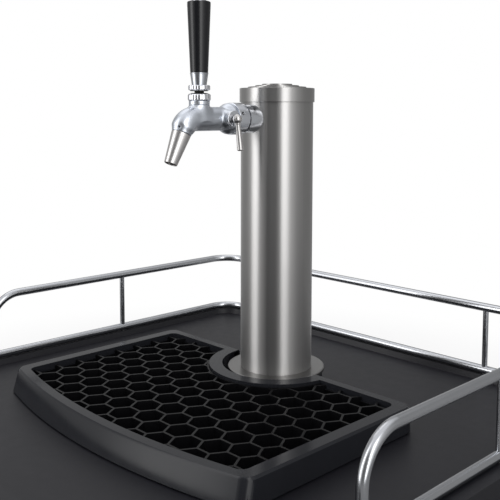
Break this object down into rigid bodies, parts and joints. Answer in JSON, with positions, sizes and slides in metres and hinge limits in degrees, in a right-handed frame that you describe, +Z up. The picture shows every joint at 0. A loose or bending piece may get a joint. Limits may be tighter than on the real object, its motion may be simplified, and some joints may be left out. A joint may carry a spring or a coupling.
{
  "type": "beer tap tower with drip tray and guard rail",
  "caption": "Beer tap tower with a flow-control faucet on a moulded worktop, with a honeycomb drip tray and a chrome guard rail.",
  "frame": {"origin": "middle of the worktop's underside", "axes": "+X along the worktop's width, +Y to the back, -Y the side where the spout points, +Z up"},
  "size_m": [0.57, 0.54, 0.4337],
  "materials": {
    "black_top": "satin",
    "tray_plastic": "satin",
    "grid_plastic": "satin",
    "rail_chrome": "polished",
    "tower_steel": "brushed along its length",
    "tap_chrome": "polished",
    "tap_steel": "brushed",
    "fastener_steel": "zinc plated",
    "black_rubber": "matte",
    "grip_black": "gloss",
    "insert_brass": "turned",
    "white_plastic": "satin",
    "foam": "foam",
    "line_vinyl": "translucent vinyl, plain here"
  },
  "bodies": {
    "base": {"worktop": "black_top", "rail_upper": "rail_chrome", "rail_lower": "rail_chrome", "rail_posts": "rail_chrome", "rail_studs": "fastener_steel", "rail_washers": "fastener_steel", "rail_nuts": "fastener_steel", "tower_gasket": "black_rubber", "tower_flange": "tower_steel", "tower_studs": "fastener_steel", "back_plate": "fastener_steel", "tower_washers": "fastener_steel", "tower_nuts": "fastener_steel", "tower_column": "tower_steel", "tower_foam": "foam", "shank": "tap_steel", "shank_collar": "tap_chrome", "shank_washer": "fastener_steel", "shank_nut": "fastener_steel", "tail_washer": "white_plastic", "tail_elbow": "tap_steel", "tail_nut": "fastener_steel", "beer_line": "line_vinyl", "line_clamps": "fastener_steel", "line_union": "tap_steel", "line_grommet": "black_rubber", "faucet_washer": "black_rubber", "coupling_nut": "tap_chrome", "faucet_body": "tap_chrome", "spout": "tap_steel", "spout_ring": "black_rubber", "flow_collar": "tap_chrome", "stem_seal": "black_rubber", "ball_washer": "white_plastic", "friction_ring": "black_rubber", "bonnet_nut": "tap_chrome"},
    "tray": {"drip_tray": "tray_plastic", "tray_feet": "black_rubber"},
    "grid": {"drip_grid": "grid_plastic"},
    "cap": {"tower_cap": "tower_steel", "cap_seal": "black_rubber"},
    "tap_lever": {"ball_stem": "tap_steel", "lever_boot": "black_rubber", "lever_nut": "tap_chrome", "ferrule": "tap_chrome", "handle": "grip_black", "handle_insert": "insert_brass", "handle_button": "tap_chrome"},
    "plunger_body": {"plunger": "tap_steel", "plunger_seal": "black_rubber"},
    "flow_lever_body": {"flow_lever": "tap_steel"},
    "flow_cone_body": {"flow_cone": "tap_steel"}
  },
  "joints": [
    {"name": "tap_tilt", "type": "hinge", "parent": "base", "child": "tap_lever", "pos_m": [0, -0.028, 0.338], "axis": [1, 0, 0], "range_deg": [0, 13]},
    {"name": "plunger_slide", "type": "slide", "parent": "base", "child": "plunger_body", "axis": [0, 1, 0], "range_m": [0, 0.0041]},
    {"name": "flow_turn", "type": "hinge", "parent": "base", "child": "flow_lever_body", "pos_m": [0, 0.0012, 0.3202], "axis": [1, 0, 0], "range_deg": [-90, 0]},
    {"name": "cone_slide", "type": "slide", "parent": "base", "child": "flow_cone_body", "axis": [0, 1, 0], "range_m": [-0.0022, 0]},
    {"name": "tray_lift", "type": "slide", "parent": "base", "child": "tray", "axis": [0, 0, 1], "range_m": [0, 0.05]},
    {"name": "grid_lift", "type": "slide", "parent": "tray", "child": "grid", "axis": [0, 0, 1], "range_m": [0, 0.03]},
    {"name": "cap_lift", "type": "slide", "parent": "base", "child": "cap", "axis": [0, 0, 1], "range_m": [0, 0.03]}
  ],
  "couplings": [
    {"joint": "plunger_slide", "follows": "tap_tilt", "m_per_rad": 0.0176},
    {"joint": "cone_slide", "follows": "flow_turn", "m_per_rad": 0.00135}
  ]
}
